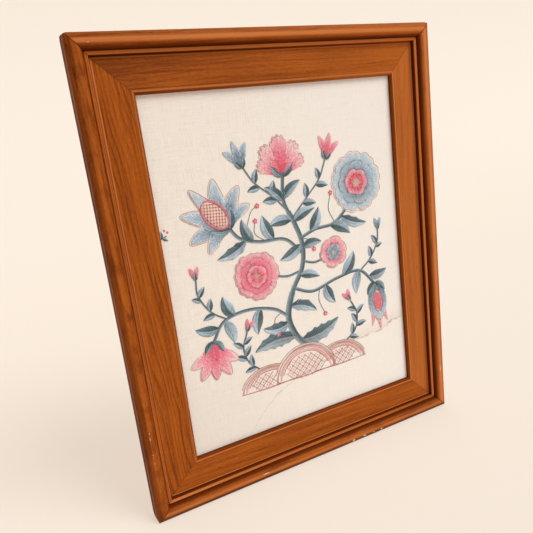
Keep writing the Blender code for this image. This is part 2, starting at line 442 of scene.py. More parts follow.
def mouldingOutline():
    m = moulding
    depth = frameDepth / mm
    width = railWidth / mm
    reedMiddle = m["reedStart"] + m["reedWidth"]
    reedEnd = reedMiddle + m["reedWidth"]
    panelStart = reedEnd + m["grooveWidth"]
    rabbet = width - m["rabbetWidth"]
    runs = [
        [(m["ease"], 0.0), (0.0, m["ease"]), (0.0, 5.0), (0.0, 10.0)],
        quarterRound((m["rollCrest"], m["rollOuterH"]), m["rollCrest"],
                     depth - m["rollOuterH"], 2.3, 22, True),
        quarterRound((m["rollCrest"], m["rollInnerH"]), m["rollInner"] - m["rollCrest"],
                     depth - m["rollInnerH"], 2.0, 20, False)[1:],
        [(m["reedStart"], m["rollInnerH"])],
        swelling((m["reedStart"], m["reedH"]), (reedMiddle, m["reedH"]), m["reedRise"], 8),
        swelling((reedMiddle, m["reedH"]), (reedEnd, m["reedH"]), m["reedRise"], 8)[1:],
        [(reedEnd, m["grooveH"])],
        quarterRound((panelStart + m["edgeRadius"], m["grooveH"]), m["edgeRadius"],
                     m["panelH"] - m["grooveH"], 2.0, 7, True),
        swelling((panelStart + m["edgeRadius"], m["panelH"]), (m["panelEnd"], m["panelEndH"]), 0.0, 8)[1:],
        swelling((m["panelEnd"], m["panelEndH"]), (m["lipCrest"], m["lipCrestH"]), -m["lipDip"], 8)[1:],
        quarterRound((m["lipCrest"], m["lipSideH"]), width - m["lipCrest"],
                     m["lipCrestH"] - m["lipSideH"], 2.0, 12, False)[1:],
        [(width, m["rabbetH"]), (rabbet, m["rabbetH"]), (rabbet, m["ease"]), (rabbet - m["ease"], 0.0)],
    ]
    return np.concatenate([np.array(run, float) for run in runs]) * mm


def mitredRail(name, length, turn, at):
    # the outline carried from mitre to mitre: each point's run is shorter by its distance inwards
    m = moulding
    outline = mouldingOutline()
    setback = m["mitreGap"] * mm * math.sqrt(0.5)
    share = np.linspace(0.0, 1.0, m["stations"])[:, None]
    u, h = outline[None, :, 0], outline[None, :, 1]
    along = (u + setback) * (1.0 - share) + (length - u - setback) * share
    u, h = np.broadcast_arrays(u + 0.0 * along, h + 0.0 * along)
    # the crest was never quite true: a slow wave of a few hundredths of a millimetre
    quick, slow = m["waveTurns"]
    wave = 1.0 + np.sin(along * quick + turn) * np.sin(along * slow + 2.0 * turn)
    h = h - np.clip((h - m["waveFrom"] * mm) / (m["waveOver"] * mm), 0.0, 1.0) * m["wave"] * mm * wave
    for spotAlong, spotU, spotLength, spotWidth in chips[name]:
        offA = (along / mm - spotAlong) / (spotLength + m["chipEase"][0])
        offB = (u / mm - spotU) / (spotWidth + m["chipEase"][1])
        h = h - m["chipDepth"] * mm * np.exp(-(offA ** 2 + offB ** 2)) * (h > m["chipFloor"] * mm)
    # old rails bow a little: nothing at the mitres, most half way along
    outerBow, innerBow = grains[name]["bow"]
    swell = np.sin(0.5 * tau * np.clip(along / length, 0.0, 1.0)) ** 2
    bowed = swell * (outerBow * mm + (innerBow - outerBow) * u / railWidth * mm)
    # the outer corners are knocked round, more so at the front: what lies beyond the arc is drawn in to it
    low, high = m["cornerRadius"]
    rise = np.clip((h - m["cornerFrom"] * mm) / (m["cornerOver"] * mm), 0.0, 1.0)
    radius = (low + (high - low) * rise) * mm
    toEnd = np.minimum(along, length - along)
    away = np.hypot(np.clip(radius - toEnd, 0.0, None), np.clip(radius - u, 0.0, None))
    inwards = np.minimum(1.0, radius / np.maximum(away, 1e-9))
    inCorner = (toEnd < radius) & (u < radius) & (away > radius)
    newEnd = np.where(inCorner, radius - (radius - toEnd) * inwards, toEnd)
    placeU = np.where(inCorner, radius - (radius - u) * inwards, u)
    placeAlong = np.where(along < 0.5 * length, newEnd, length - newEnd)
    angle = math.radians(turn)
    x, z = placeAlong - 0.5 * length, placeU + bowed
    points = np.stack([
        at[0] + x * math.cos(angle) - z * math.sin(angle),
        backY - h,
        at[1] + x * math.sin(angle) + z * math.cos(angle),
    ], -1)
    rings, sides = along.shape
    quads, caps = tubeFaces(rings, sides)
    corners = np.concatenate([quads[:, ::-1].ravel(), caps[:, ::-1].ravel()])
    starts = np.concatenate([np.arange(len(quads)) * 4, len(quads) * 4 + np.array([0, sides])])
    values = {"grainPlace": np.stack([along, u, h], -1).reshape(-1, 3)}
    piece = meshOf(f"{name}_carved", points.reshape(-1, 3), corners, starts, pineMaterial(name, length),
                   values, m["sharpAngle"])
    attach(piece, "root")
    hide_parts(name)


mitredRail("bottom_rail", frameWidth, 0.0, (0.0, 0.0))
mitredRail("right_stile", frameHeight, 90.0, (0.5 * frameWidth, 0.5 * frameHeight))
mitredRail("top_rail", frameWidth, 180.0, (0.0, frameHeight))
mitredRail("left_stile", frameHeight, 270.0, (-0.5 * frameWidth, 0.5 * frameHeight))
print("moulding carved")


# linen

linen = {
    "cream": colour(242, 227, 215), "shade": colour(214, 198, 184), "pale": colour(252, 242, 234),
    "stain": colour(200, 158, 136), "roughness": 0.92, "sheen": 0.15, "thread": 0.55 * mm,
    "across": 90, "up": 112, "hem": 26.0 * mm, "hemWave": 0.10 * mm, "thickness": 1.0 * mm,
    "edgeRound": 0.5 * mm, "sharpAngle": 50.0,
    "slack": 0.05 * mm, "ripple": 0.08 * mm, "pucker": 0.12 * mm,
    "paintedLightRight": (-0.15, 0.16), "paintedLightShare": 0.45,
    "brownLeft": (-0.14, 0.02), "brownFoot": (0.05, 0.20), "brownShare": 0.30,
}
# waves to the metre across, behind and up, then how many finer layers and their strength
linenNoises = {
    "slubUp": ((1300.0, 40.0, 70.0), 2.0, 0.5), "slubAcross": ((60.0, 40.0, 1300.0), 2.0, 0.5),
    "nubs": ((820.0, 820.0, 820.0), 2.0, 0.6), "wideUp": ((300.0, 40.0, 10.0), 2.0, 0.5),
    "wideAcross": ((9.0, 40.0, 300.0), 2.0, 0.5), "cloud": ((14.0, 14.0, 14.0), 3.0, 0.5),
    "wobble": ((90.0, 1.0, 90.0), 4.0, 0.7), "fade": ((60.0, 1.0, 60.0), 3.0),
}
# a tide line of an old damp mark: from its left end it spans so many metres, and its height over its foot,
# as a share of its rise, is given at shares of that span
tide = {
    "left": -75.0 * mm, "span": 210.0 * mm, "foot": -185.0 * mm, "rise": 100.0 * mm, "wobble": 14.0 * mm,
    "heights": [(0.0, 0.10), (0.05, 0.26), (0.14, 0.42), (0.18, 0.49), (0.25, 0.55), (0.40, 0.65),
                (0.59, 0.73), (0.67, 0.81), (0.82, 0.83), (0.88, 0.86), (0.91, 0.90), (1.0, 0.90)],
    "rim": (0.1 * mm, 1.5 * mm), "rimStrength": 0.62, "wash": (2.0 * mm, 15.0 * mm), "washStrength": 0.16,
}


def weave(place, pitch):
    # over and under: two sines at right angles, each raised where the other dips
    x, _, z = place.parts()
    warp, weft = ((axis * (tau / pitch)).maths("SINE").maths("ABSOLUTE") for axis in (x, z))
    halfWarp, halfWeft = ((axis * (0.5 * tau / pitch)).maths("SINE") for axis in (x, z))
    return warp * 0.5 + weft * 0.5 + halfWarp * halfWeft * 0.6


def tideStain(x, z, wobble, fade):
    # dark along the line, a pale wash above it; a ramp's grey gives the line's height, and noise bends it
    stops = [(at, (value, value, value, 1.0)) for at, value in tide["heights"]]
    line = x.node("ShaderNodeValToRGB", {"stops": stops}, {0: (x - tide["left"]) / tide["span"]})
    gap = z - (linenCentreZ + tide["foot"]) - line * tide["rise"] + (wobble - 0.5) * tide["wobble"]
    rim = gap.maths("ABSOLUTE").off(*tide["rim"]) * (0.3 + fade.step(0.40, 0.62) * 0.9)
    wash = gap.step(-1.0 * mm, 0.0) * gap.off(*tide["wash"]) * x.step(0.0, 0.06)
    stain = rim * tide["rimStrength"] + wash * tide["washStrength"]
    return stain * x.step(tide["left"] + 1.0 * mm, tide["left"] + 11.0 * mm)


def linenMaterial():
    fixed = {"Roughness": linen["roughness"], "Sheen Weight": linen["sheen"]}
    material, start, shader = newMaterial("natural_linen", fixed)
    place = start.node("ShaderNodeTexCoord", None, None, "Object")
    x, _, z = place.parts()
    noise = noises(place, linenNoises)
    threads = ((noise["slubUp"] - 0.5) * 1.2 + (noise["slubAcross"] - 0.5) * 0.9
               + (noise["wideUp"] + noise["wideAcross"] - 1.0) * 0.25 + (noise["nubs"] - 0.5) * 1.0)
    dull = (threads * -1.0 + (noise["cloud"] - 0.5) * 0.35).clamped()
    tone = plain(start, linen["cream"]).mixed(dull, linen["shade"]).mixed(threads.clamped(), linen["pale"])

    # painted light: the right of the cloth is a little paler than the left; its lower left corner is the
    # brownest
    paintedLight = x.step(*linen["paintedLightRight"]) * linen["paintedLightShare"]
    brown = x.off(*linen["brownLeft"]) * z.off(*linen["brownFoot"]) * linen["brownShare"]
    tone = tone.mixed(paintedLight, linen["pale"]).mixed(brown, linen["shade"])
    tone = tone.mixed(tideStain(x, z, noise["wobble"], noise["fade"]), linen["stain"])
    plug(tone, shader, "Base Color")
    plug(bumped(weave(place, linen["thread"]) * 0.6 + threads * 1.2, 0.55, 0.16 * mm), shader, "Normal")
    return material


def clothSag(x, z):
    # how far the stretched cloth lies behind its rim: slack in the middle, two slow ripples, and short waves
    # that cross one another where the wool draws it in
    across = x / (0.5 * (linenHigh.x - linenLow.x))
    up = z / (0.5 * (linenHigh.z - linenLow.z))
    ripple = np.sin(across * 5.0 + up * 2.0) * np.sin(up * 6.0 - across * 1.5 + 1.0)
    pucker = np.sin(x * 430.0 + 2.2 * np.sin(z * 95.0)) * np.sin(z * 390.0 + 2.2 * np.sin(x * 120.0 + 1.0))
    behind = linen["slack"] + ripple * linen["ripple"] + pucker * linen["pucker"]
    return (1.0 - across ** 2) * (1.0 - up ** 2) * behind


def stretchedLinen():
    # the cloth's section carried round its four sides, closed by a sheet in front and one behind it
    halfWidth = 0.5 * (linenHigh.x - linenLow.x)
    halfHeight = 0.5 * (linenHigh.z - linenLow.z)
    front, back = linenLow.y, linenHigh.y
    thick, hem, ease = linen["thickness"], linen["hem"], linen["edgeRound"]
    # round the front's edge and the back's, to the hem's inner edge, then back along the inside: each point's
    # inset from the rim and its distance behind the front
    section = [(ease, 0.0), (0.15 * ease, 0.15 * ease), (0.0, ease)]
    section += [(0.0, back - front - ease), (0.15 * ease, back - front - 0.15 * ease), (ease, back - front)]
    section += [(hem, back - front), (hem, back - front - thick)]
    section += [(thick, back - front - thick), (thick, thick)]
    across = np.linspace(-1.0, 1.0, linen["across"])
    up = np.linspace(-1.0, 1.0, linen["up"])
    ring = np.concatenate([
        np.stack([across[:-1], -np.ones(len(across) - 1)], 1),
        np.stack([np.ones(len(up) - 1), up[:-1]], 1),
        np.stack([across[:0:-1], np.ones(len(across) - 1)], 1),
        np.stack([-np.ones(len(up) - 1), up[:0:-1]], 1),
    ])
    wave = linen["hemWave"] * np.sin(ring[:, 0] * 23.0 + ring[:, 1] * 31.0)
    loops = [
        np.stack([
            ring[:, 0] * (halfWidth - inset),
            np.full(len(ring), front + behind),
            linenCentreZ + ring[:, 1] * (halfHeight - inset + (wave if inset == hem else 0.0)),
        ], 1)
        for inset, behind in section
    ]
    skin = np.concatenate(loops)
    sides = len(ring)
    quads, _ = tubeFaces(len(section), sides)

    # the front and the inside of the front are grids whose rims are the first and last loops
    def sheetGrid(inset, behind):
        gx, gz = np.meshgrid(across[1:-1] * (halfWidth - inset), up[1:-1] * (halfHeight - inset),
                             indexing="ij")
        return np.stack([gx, front + behind + clothSag(gx, gz), linenCentreZ + gz], -1)

    pieces, faces, count = [skin], [quads], len(skin)
    a, b = len(across), len(up)
    for loop, outward in ((0, True), (len(section) - 1, False)):
        inset, behind = section[loop]
        pieces.append(sheetGrid(inset, behind).reshape(-1, 3))
        number = np.zeros((a, b), int)
        number[1:-1, 1:-1] = count + np.arange((a - 2) * (b - 2)).reshape(a - 2, b - 2)
        count += (a - 2) * (b - 2)
        rim = loop * sides + np.arange(sides)
        number[:-1, 0] = rim[:a - 1]
        number[-1, :-1] = rim[a - 1:a + b - 2]
        number[:0:-1, -1] = rim[a + b - 2:2 * a + b - 3]
        number[0, :0:-1] = rim[2 * a + b - 3:]
        grid = gridFaces(number)
        faces.append(grid if outward else grid[:, ::-1])
    points = np.concatenate(pieces)
    corners = np.concatenate(faces)
    piece = meshOf("linen_ground", points, corners.ravel(), np.arange(len(corners)) * 4,
                   linenMaterial(), sharpAngle=linen["sharpAngle"])
    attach(piece, "root")
    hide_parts("linen")
    turned = hem + back - front
    flat = (2.0 * (halfWidth + turned), 2.0 * (halfHeight + turned))
    flat[0] * flat[1] - 4.0 * turned ** 2


stretchedLinen()
print("linen stretched")


# board

greyBoard = {
    "grey": colour(151, 140, 124), "dull": colour(128, 116, 98), "dark": colour(92, 80, 64),
    "roughness": 0.88,
}
boardNoises = {
    "pulp": ((900.0, 900.0, 900.0), 3.0, 0.6), "cloud": ((22.0, 22.0, 22.0), 3.0, 0.5),
    "fleck": ((420.0, 90.0, 260.0), 2.0, 0.5),
}


def boardMaterial():
    material, start, shader = newMaterial("grey_board", {"Roughness": greyBoard["roughness"]})
    noise = noises(start.node("ShaderNodeTexCoord", None, None, "Object"), boardNoises)
    tone = plain(start, greyBoard["grey"])
    tone = tone.mixed((noise["pulp"] * 0.5 + noise["cloud"] * 0.4 - 0.2).clamped(), greyBoard["dull"])
    tone = tone.mixed(noise["fleck"].step(0.66, 0.72) * 0.5, greyBoard["dark"])
    plug(tone, shader, "Base Color")
    plug(bumped(noise["pulp"], 0.3, 0.1 * mm), shader, "Normal")
    return material


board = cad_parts["mount_board"]
board.data.materials.clear()
board.data.materials.append(boardMaterial())


# crewel wool: every stitch is a closed strand whose two ends dip into the cloth

# sizes are millimetres; rowStep, shortShare and overlap are shares of a stitch's length
wool = {
    "pitch": 0.66, "width": 0.82, "thickness": 0.60, "stitch": 5.4, "plyTwist": 1.6 * mm,
    "stations": (0.0, 0.12, 0.5, 0.88, 1.0), "girth": (0.45, 0.85, 1.0, 0.85, 0.45),
    "rise": (-0.9, 0.75, 1.0, 0.75, -0.9), "sides": 6, "perPiece": 3400,
    "specular": 0.2, "sheen": 0.12, "fuzz": (2600.0, 2600.0, 2600.0), "undersideShade": (0.30, 0.28, 0.30, 1.0),
    "rowStep": 0.74, "shortShare": 0.58, "overlap": 0.18, "longest": 5.2, "stemStep": 1.9, "stemStitch": 3.3,
    "stemLean": 0.13,
}
woolTones = {
    "blue": [(0.0, colour(116, 133, 144)), (0.25, colour(146, 162, 175)), (0.5, colour(172, 186, 198)),
             (0.75, colour(197, 208, 218)), (1.0, colour(220, 226, 231))],
    "teal": [(0.0, colour(70, 88, 91)), (0.35, colour(104, 121, 126)), (0.65, colour(140, 155, 162)),
             (1.0, colour(180, 193, 200))],
    "coral": [(0.0, colour(236, 98, 118)), (0.3, colour(247, 129, 147)), (0.6, colour(251, 160, 171)),
              (0.85, colour(253, 191, 195)), (1.0, colour(255, 221, 217))],
    "rust": [(0.0, colour(172, 100, 86)), (0.5, colour(204, 140, 122)), (1.0, colour(230, 184, 168))],
    "cream": [(0.0, colour(232, 206, 174)), (1.0, colour(250, 238, 218))],
}
strands = {family: [] for family in woolTones}
dice = np.random.default_rng(11)


def lay(family, start, end, tone, width=1.0, lift=0.0, bow=0.0):
    # start, end, lift and bow are millimetres on the cloth, and width is a share of the wool's own
    start, end = np.broadcast_arrays(np.reshape(start, (-1, 2)), np.reshape(end, (-1, 2)))
    rest = [np.broadcast_to(np.ravel(value), (len(start),)) for value in (tone, width, lift, bow)]
    strands[family].append(np.column_stack([start, end, *rest]))


def clearInside(outline):
    # what lies where a later shape comes is taken out: from there, a ray to the right crosses the outline an
    # odd number of times
    a, b = outline, np.roll(outline, -1, 0)
    for family, laid in strands.items():
        if laid:
            rows = np.concatenate(laid)
            x, y = (0.5 * (rows[:, i] + rows[:, i + 2])[:, None] for i in (0, 1))
            spans = (a[:, 1] > y) != (b[:, 1] > y)
            where = a[:, 0] + (b[:, 0] - a[:, 0]) * (y - a[:, 1]) / np.where(spans, b[:, 1] - a[:, 1], 1.0)
            strands[family] = [rows[np.sum(spans & (x < where), 1) % 2 == 0]]


def polar(degrees, radius=1.0):
    angle = np.radians(degrees)
    return np.stack([np.cos(angle) * radius, np.sin(angle) * radius], -1)


def across2d(line):
    # the direction a quarter turn to the left of each line, one long
    line = np.asarray(line, float)
    turned = np.stack([-line[..., 1], line[..., 0]], -1)
    return turned / np.maximum(np.linalg.norm(turned, axis=-1, keepdims=True), 1e-9)


def spun(degrees):
    # the matrix that turns rows of points about the origin
    c, s = math.cos(math.radians(degrees)), math.sin(math.radians(degrees))
    return np.array([[c, s], [-s, c]])


def arcOf(path):
    # how far along a path each of its points lies
    return np.concatenate([[0.0], np.cumsum(np.linalg.norm(np.diff(path, axis=0), axis=1))])


def placeAt(distance, arc, path):
    return np.stack([np.interp(distance, arc, path[:, i]) for i in (0, 1)], -1)


def shades(share, tones):
    # the tone at a share of the way through a list of tones
    return np.interp(share, np.linspace(0.0, 1.0, len(tones)), tones)


def blade(base, tip, bend, width):
    # places on a petal or leaf: s runs along a quadratic curve from base to tip, t from right edge to left
    base, tip = np.array(base, float), np.array(tip, float)
    elbow = 0.5 * (base + tip) + across2d(tip - base) * bend

    def place(s, t):
        s, t = np.broadcast_arrays(np.asarray(s, float), np.asarray(t, float))
        share = s[..., None]
        spine = base * (1.0 - share) ** 2 + elbow * 2.0 * share * (1.0 - share) + tip * share ** 2
        slope = (elbow - base) * (1.0 - share) + (tip - elbow) * share
        return spine + across2d(slope) * (0.5 * t * width(s))[..., None]

    return place, float(np.linalg.norm(tip - base) + abs(bend) * 0.4)


def petalEdge(drop, power=2.2, notch=0.0, teeth=0, bite=0.0):
    # how far along each lane ends: rounded off by a power of t, with a middle notch or a row of teeth
    def edge(t):
        reach = 1.0 - drop * np.abs(t) ** power - notch * np.exp(-(t / 0.24) ** 2)
        return reach - bite * np.abs(np.sin(0.25 * tau * teeth * (t + 1.0)))

    return edge


def fillPetal(family, base, tip, bend, ends, edge, tones, lift=0.0, dome=0.35, flare=0.75):
    # long and short stitch: staggered lanes from the edge to the base, fewer of them where the petal narrows
    def width(s):
        return ends[0] + (ends[1] - ends[0]) * np.clip(s, 0.0, 1.0) ** flare

    place, length = blade(base, tip, bend, width)
    rim = np.linspace(-1.0, 1.0, 24)
    up = np.linspace(0.0, 1.0, 8)[:, None]
    sides = [place(edge(side) * up[::int(-side), 0], side) for side in (-1.0, 1.0)]
    clearInside(np.concatenate([sides[0], place(edge(rim), rim), sides[1]]))
    pitch = wool["pitch"]
    lanes = max(3, int(round(max(ends) / pitch)) + 1)
    lane = np.arange(lanes)[:, None]
    t = np.linspace(-1.0, 1.0, lanes)[:, None]
    high = edge(t)
    reach = wool["stitch"] / length
    rows = int(math.ceil(1.0 / (wool["rowStep"] * reach))) + 2
    row = np.arange(rows + 1)[None, :]
    first = np.where(lane % 2 == 0, 1.0, wool["shortShare"]) * reach
    uneven = dice.uniform(-0.12, 0.12, (lanes, rows + 1)) * reach
    cuts = np.where(row == 0, high, high - first - (row - 1) * wool["rowStep"] * reach + uneven)
    upper = cuts[:, :-1] + np.where(row[:, :-1] > 0, wool["overlap"] * reach, 0.0)
    lower = np.maximum(cuts[:, 1:], 0.0)
    middle = 0.5 * (upper + lower)
    spacing = width(middle) / (lanes - 1)
    stride = 2.0 ** np.clip(np.round(np.log2(pitch / np.maximum(spacing, 1e-3))), 0, 6)
    keep = (upper - lower > 0.2 * reach) & ((lane - lanes // 2) % stride == 0)
    share = np.clip(middle / np.maximum(high, 1e-3), 0.0, 1.0)
    tone = shades(share, tones) - 0.18 * np.abs(t) ** 3 * (1.0 - share)
    tone = np.round((tone + dice.normal(0.0, 0.10, middle.shape)) * 8.0) / 8.0
    raised = lift + dome * (1.0 - t ** 2) * np.sqrt(np.clip(4.0 * share * (1.0 - share), 0.0, 1.0))
    start, end, centre = place(upper, t), place(lower, t), place(middle, t)
    bow = np.sum((centre - 0.5 * (start + end)) * across2d(end - start), -1)
    broad = np.clip(spacing * stride / pitch, 0.75, 1.25)
    lay(family, start[keep], end[keep], tone[keep], broad[keep], raised[keep], bow[keep])
    return place, edge


def petalLine(petal, line, span=1.0, width=0.62):
    # one row of stem stitch that follows a petal's edge, a little outside it; line is its wool, tone and gap
    place, edge = petal
    family, tone, gap = line
    t = np.linspace(-span, span, 40)
    middle = place(edge(t), t)
    outward = -across2d(np.gradient(middle, axis=0))
    stemRows(family, middle + outward * gap, 0.5, (tone,), width=width)


def fillLeaf(base, tip, bend, width, dark=("teal", 0.05, 0.35), light=("teal", 0.5, 0.95), vein=None, teeth=0,
             lift=0.0, slant=0.55):
    # fishbone stitch: out and forwards from the middle line, each half in its own wool and range of tones
    def outline(s):
        lens = np.sin(0.5 * tau * np.clip(s, 0.0, 1.0) ** 0.82) ** 0.8
        return width * lens * (1.0 - (0.2 * np.abs(np.sin(0.5 * tau * teeth * s + 0.6)) if teeth else 0.0))

    place, length = blade(base, tip, bend, outline)
    count = int(length / (wool["pitch"] * 1.02))
    for side, (family, low, high) in ((-1.0, dark), (1.0, light)):
        s = np.linspace(0.0, 0.965, count) + dice.uniform(-0.2, 0.2, count) / count
        s = np.clip(s, 0.0, 0.985)
        out = np.minimum(s + slant * outline(s) / length, 1.0)
        inner, outer = place(s, -0.06 * side), place(out, side)
        tone = low + (high - low) * s + dice.normal(0.0, 0.08, count)
        far = np.linalg.norm(outer - inner, axis=-1)
        cut = np.where(far > wool["longest"], dice.uniform(0.42, 0.62, count), 1.0)[:, None]
        raised = lift + 0.22 * np.sin(0.5 * tau * s)
        lay(family, inner, inner + (outer - inner) * cut, tone, 1.0, raised)
        split = cut[:, 0] < 1.0
        again = inner + (outer - inner) * (cut - 0.08)
        paler = tone[split] + 0.14 * (high - low + 0.5)
        lay(family, again[split], outer[split], paler, 1.0, raised[split])
    if vein:
        middle = place(np.linspace(0.02, 0.86, 24), 0.0)
        stemRows(vein[0], middle, 0.5, (vein[1],), width=0.55, lift=lift + 0.35)


def smoothPath(points):
    # a Catmull-Rom curve through the points, 16 steps to a span
    points = np.array(points, float)
    if len(points) > 12:
        return points
    padded = np.concatenate([[2 * points[0] - points[1]], points, [2 * points[-1] - points[-2]]])
    p0, p1, p2, p3 = (padded[i:len(padded) - 3 + i, None] for i in range(4))
    u = np.linspace(0.0, 1.0, 16, endpoint=False)[None, :, None]
    curve = 0.5 * (2 * p1 + (p2 - p0) * u + (2 * p0 - 5 * p1 + 4 * p2 - p3) * u ** 2
                   + (3 * p1 - p0 - 3 * p2 + p3) * u ** 3)
    return np.concatenate([curve.reshape(-1, 2), points[-1:]])


def stemRows(family, points, breadth, tones, taper=1.0, width=1.0, lift=0.0, pitch=0.86):
    # stem stitch: each starts a little right of the line and ends a little left, half over the one before
    path = smoothPath(points)
    arc = arcOf(path)
    total = arc[-1]
    sideways = across2d(np.gradient(path, axis=0))
    rows = max(1, int(round(breadth / pitch)))

    def at(distance, offset):
        distance = np.clip(distance, 0.0, total)
        return placeAt(distance, arc, path) + placeAt(distance, arc, sideways) * np.reshape(offset, (-1, 1))

    for row in range(rows):
        offset = (row - 0.5 * (rows - 1)) * pitch
        begin = np.arange(0.0, max(total - 0.9, 0.1), wool["stemStep"]) + dice.uniform(0.0, 0.5)
        stop = begin + wool["stemStitch"]
        room = 0.5 * breadth * (1.0 + (taper - 1.0) * begin / total)
        begin, stop = begin[abs(offset) <= room + 0.25], stop[abs(offset) <= room + 0.25]
        if not len(begin):
            continue
        tone = shades(row / max(rows - 1, 1), tones)
        start, end = at(begin, offset - wool["stemLean"]), at(stop, offset + wool["stemLean"])
        centre = at(0.5 * (begin + stop), offset)
        bow = np.sum((centre - 0.5 * (start + end)) * across2d(end - start), -1)
        lay(family, start, end, tone + dice.normal(0.0, 0.05, len(begin)), width, lift, bow)


def satinBand(family, low, high, tones, gap=1.0, lift=0.0):
    # satin stitch straight across between two paths with the same number of points
    low, high = np.array(low, float), np.array(high, float)
    arc = arcOf(0.5 * (low + high))
    count = max(2, int(arc[-1] / (wool["pitch"] * gap)))
    at = np.linspace(0.0, arc[-1], count)
    tone = shades(at / arc[-1], tones) + dice.normal(0.0, 0.03, count)
    lay(family, placeAt(at, arc, low), placeAt(at, arc, high), tone, 1.0, lift)


def frenchKnots(family, centres, tone, size=1.5, lift=0.0):
    # a knot is two short fat coils side by side
    centres = np.reshape(np.array(centres, float), (-1, 2))
    along = polar(dice.uniform(0.0, 180.0, len(centres)))
    for side in (-1.0, 1.0):
        middle = centres + across2d(along) * (0.19 * size * side)
        reach = along * (0.46 * size)
        mixed = tone + dice.normal(0.0, 0.05, len(centres))
        lay(family, middle - reach, middle + reach, mixed, 0.72 * size, lift + 0.15)


def scatter(centre, radius, gap, squash=1.0, turn=0.0):
    # sunflower spacing: each point a golden angle on, as far out as the root of its number
    count = max(1, int((radius / gap) ** 2))
    number = np.arange(count) + 0.5
    spots = polar(number * 137.508, radius * np.sqrt(number / count)) * (1.0, squash)
    return np.array(centre) + spots @ spun(turn)


def trellis(centre, radii, turn, gap, line, tie, lift=0.0, seed=None):
    # long threads laid both ways over an oval, tied down where they cross
    spin = spun(turn)
    half = np.arange(gap * 0.5, 1.5 * max(radii), gap)
    offsets = np.concatenate([-half[::-1], half])
    for slope in (45.0, -45.0):
        # on the oval stretched to a circle, a line at a distance d is cut 2 * sqrt(1 - d * d) long
        direction, normal = polar(slope), polar(slope + 90.0)
        scale = np.hypot(*(normal * radii))
        d = offsets / scale
        d = d[abs(d) < 0.94]
        unit = normal * radii / scale
        middle = unit[None, :] * d[:, None] * radii
        stretch = 1.0 / np.hypot(*(direction / radii))
        reach = direction[None, :] * (np.sqrt(1.0 - d ** 2) * stretch)[:, None]
        lay(line[0], (middle - reach) @ spin + centre, (middle + reach) @ spin + centre, line[1], 0.72, lift)
    first, second = np.meshgrid(offsets, offsets)
    cross = np.stack([first + second, first - second], -1).reshape(-1, 2) * math.sqrt(0.5)
    inside = np.sum((cross / radii) ** 2, -1) < 0.86
    cross = cross[inside] @ spin + centre
    step = polar(turn, 0.85)
    lay(tie[0], cross - step, cross + step, tie[1], 0.7, lift + 0.45)
    if seed:
        cells = np.stack([first + second + gap, first - second], -1).reshape(-1, 2) * math.sqrt(0.5)
        cells = cells[np.sum((cells / radii) ** 2, -1) < 0.72] @ spin + centre
        frenchKnots(seed[0], cells, seed[1], 1.2, lift)


def laidOval(family, centre, radii, turn, tones, lift):
    # long stitches laid side by side over an oval, across its length
    count = int(2.0 * radii[0] / wool["pitch"])
    along = np.linspace(-0.98, 0.98, count)
    half = np.sqrt(1.0 - along ** 2) * radii[1]
    low, high = (np.stack([along * radii[0], half * side], 1) @ spun(turn) + centre for side in (-1.0, 1.0))
    tone = np.interp(along, np.linspace(-1.0, 1.0, len(tones)), tones)
    lay(family, low, high, tone + dice.normal(0.0, 0.04, count), 1.0, lift)


def ovalPath(centre, radii, turn, wider=0.0):
    return centre + (polar(np.linspace(0.0, 360.0, 60)) * (radii + wider)) @ spun(turn)


# flowers of no one pattern: plain rosettes, fans, bells and seed pods

def rosette(centre, rings, eye):
    # rings of equal petals round a middle, the outermost first, and every other petal before its neighbours
    centre = np.array(centre, float)
    for ring in rings:
        inner, outer = ring["reach"]
        breadth = 2.0 * math.sin(0.5 * tau / ring["count"]) * outer * ring["fat"]
        for number in (*range(0, ring["count"], 2), *range(1, ring["count"], 2)):
            heading = ring["phase"] + number * 360.0 / ring["count"] + dice.uniform(-2.5, 2.5)
            reach = outer * dice.uniform(0.95, 1.05)
            ends = (tau * inner / ring["count"], breadth)
            edge = petalEdge(ring["drop"], 2.3, ring.get("notch", 0.0))
            petal = fillPetal(ring["family"], centre + polar(heading, inner), centre + polar(heading, reach),
                              dice.uniform(-1.0, 1.0), ends, edge, ring["tones"],
                              ring["lift"] + 0.2 * (number % 2), 0.35, 0.6)
            if "line" in ring:
                petalLine(petal, ring["line"], 0.97)
    family, tone, radius = eye["disc"]
    frenchKnots(family, scatter(centre, radius, 0.82), tone, 1.25, eye["lift"])
    if "halo" in eye:
        family, tone, low, high, count = eye["halo"]
        heading = np.linspace(0.0, 360.0, count, endpoint=False) + dice.uniform(-3.0, 3.0, count)
        far = dice.uniform(0.85, 1.1, count) * high
        lay(family, centre + polar(heading, low), centre + polar(heading, far), tone, 0.7, eye["lift"])
        frenchKnots(family, centre + polar(heading, far + 0.6), tone, 1.1, eye["lift"])


def bothSides(rows):
    # each row and then its mirror image, with turn and bend reversed; a row that faces straight on has none
    for turn, reach, bend, *rest in rows:
        yield (turn, reach, bend, *rest)
        if turn:
            yield (-turn, reach, -bend, *rest)


def fanFlower(base, facing, look, petals, sepals=()):
    # petals spread from one foot, in the order given, then sepals that cup them
    base = np.array(base, float)
    for turn, reach, bend, breadth, lift, tones in petals:
        heading = facing + turn
        petal = fillPetal(look["family"], base + polar(heading, 1.5), base + polar(heading, reach), bend,
                          (look["foot"], breadth), look["edge"], tones, lift, 0.4)
        if "line" in look:
            petalLine(petal, look["line"])
    for turn, reach, bend, width in sepals:
        fillLeaf(base - polar(facing, 2.0), base + polar(facing + turn, reach), bend, width, lift=0.35)


